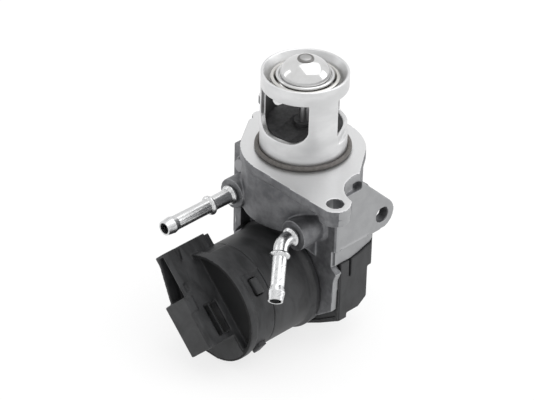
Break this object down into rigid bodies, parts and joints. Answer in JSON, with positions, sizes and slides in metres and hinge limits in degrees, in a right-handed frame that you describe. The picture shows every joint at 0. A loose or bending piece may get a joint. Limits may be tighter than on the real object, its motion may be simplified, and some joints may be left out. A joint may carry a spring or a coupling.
{
  "type": "exhaust gas recirculation valve",
  "caption": "Motor-driven exhaust gas recirculation valve with a poppet in a bright cage, a cast body with coolant pipes, and a black motor with a plug socket.",
  "frame": {"origin": "valve axis at the flange's sealing face, midway between the two bolt holes", "axes": "+Z along the stem towards the poppet, +X out of the side plate with the bracket hole, motor towards -Y"},
  "size_m": [0.1167, 0.1169, 0.1611],
  "materials": {
    "cast_light": "cast, machined on the flange",
    "machined_aluminium": "satin, turned",
    "polished_steel": "polished",
    "turned_steel": "satin, turned",
    "dark_steel": "dull",
    "zinc_steel": "bright",
    "cast_guide": "dark, rough",
    "bearing_steel": "ground",
    "spring_steel": "drawn",
    "lamination": "stacked sheet",
    "copper": "enamelled wire",
    "brass": "turned",
    "magnet": "sintered",
    "graphite": "pressed graphite",
    "black_plastic": "moulded, fine grain",
    "black_plastic_cover": "moulded, fine grain",
    "gear_plastic": "moulded",
    "board_green": "varnished board",
    "card_brown": "moulded",
    "seal_rubber": "soft, matte",
    "ring_rubber": "soft, matte",
    "contact_tin": "plated"
  },
  "bodies": {
    "body": {"valve_housing": "cast_light", "valve_cage": "machined_aluminium", "cage_ring": "ring_rubber", "seat_ring": "turned_steel", "gas_guide": "cast_guide", "guide_bush": "dark_steel", "stem_seal": "seal_rubber", "core_plug": "zinc_steel", "coolant_pipe_straight": "zinc_steel", "coolant_pipe_bent": "zinc_steel", "output_bearing_front": "bearing_steel", "output_bearing_rear": "bearing_steel", "return_spring": "spring_steel", "intermediate_pin": "turned_steel", "motor_housing": "black_plastic", "motor_can": "dark_steel", "motor_magnets": "magnet", "motor_bearing_front": "bearing_steel", "motor_bearing_rear": "bearing_steel", "brush_card": "card_brown", "brushes": "graphite", "brush_springs": "spring_steel", "motor_seal": "seal_rubber", "motor_screws": "zinc_steel", "end_cap": "black_plastic", "cap_seal": "seal_rubber", "connector_pins": "contact_tin", "gear_cover": "black_plastic_cover", "cover_seal": "seal_rubber", "cover_screws": "zinc_steel", "sensor_board": "board_green"},
    "valve": {"poppet_head": "polished_steel", "valve_stem": "turned_steel", "crosshead": "dark_steel"},
    "output": {"crank_shaft": "turned_steel", "crank_roller": "bearing_steel", "sector_gear": "gear_plastic", "sensor_magnet": "magnet"},
    "intermediate": {"intermediate_gear": "gear_plastic"},
    "rotor": {"motor_pinion": "brass", "motor_shaft": "turned_steel", "armature_core": "lamination", "armature_windings": "copper", "commutator": "copper"}
  },
  "joints": [
    {"name": "crank_turn", "type": "hinge", "parent": "body", "child": "output", "pos_m": [-0.00677, 0.004, -0.058], "axis": [0, -1, 0], "range_deg": [0, 50], "stiffness_Nm_per_rad": 0.35, "springref_deg": -25.78},
    {"name": "valve_slide", "type": "slide", "parent": "body", "child": "valve", "axis": [0, 0, 1], "range_m": [0, 0.006]},
    {"name": "intermediate_turn", "type": "hinge", "parent": "body", "child": "intermediate", "pos_m": [0.01765, 0.014, -0.06446], "axis": [0, -1, 0], "range_deg": [-183.4, 0]},
    {"name": "rotor_turn", "type": "hinge", "parent": "body", "child": "rotor", "pos_m": [0, -0.036, -0.0745], "axis": [0, -1, 0], "range_deg": [0, 566.6]}
  ],
  "couplings": [
    {"joint": "crank_turn", "follows": "rotor_turn", "ratio": 0.088235},
    {"joint": "intermediate_turn", "follows": "rotor_turn", "ratio": -0.32353},
    {"joint": "valve_slide", "follows": "rotor_turn", "m_per_rad": 0.00060666}
  ]
}
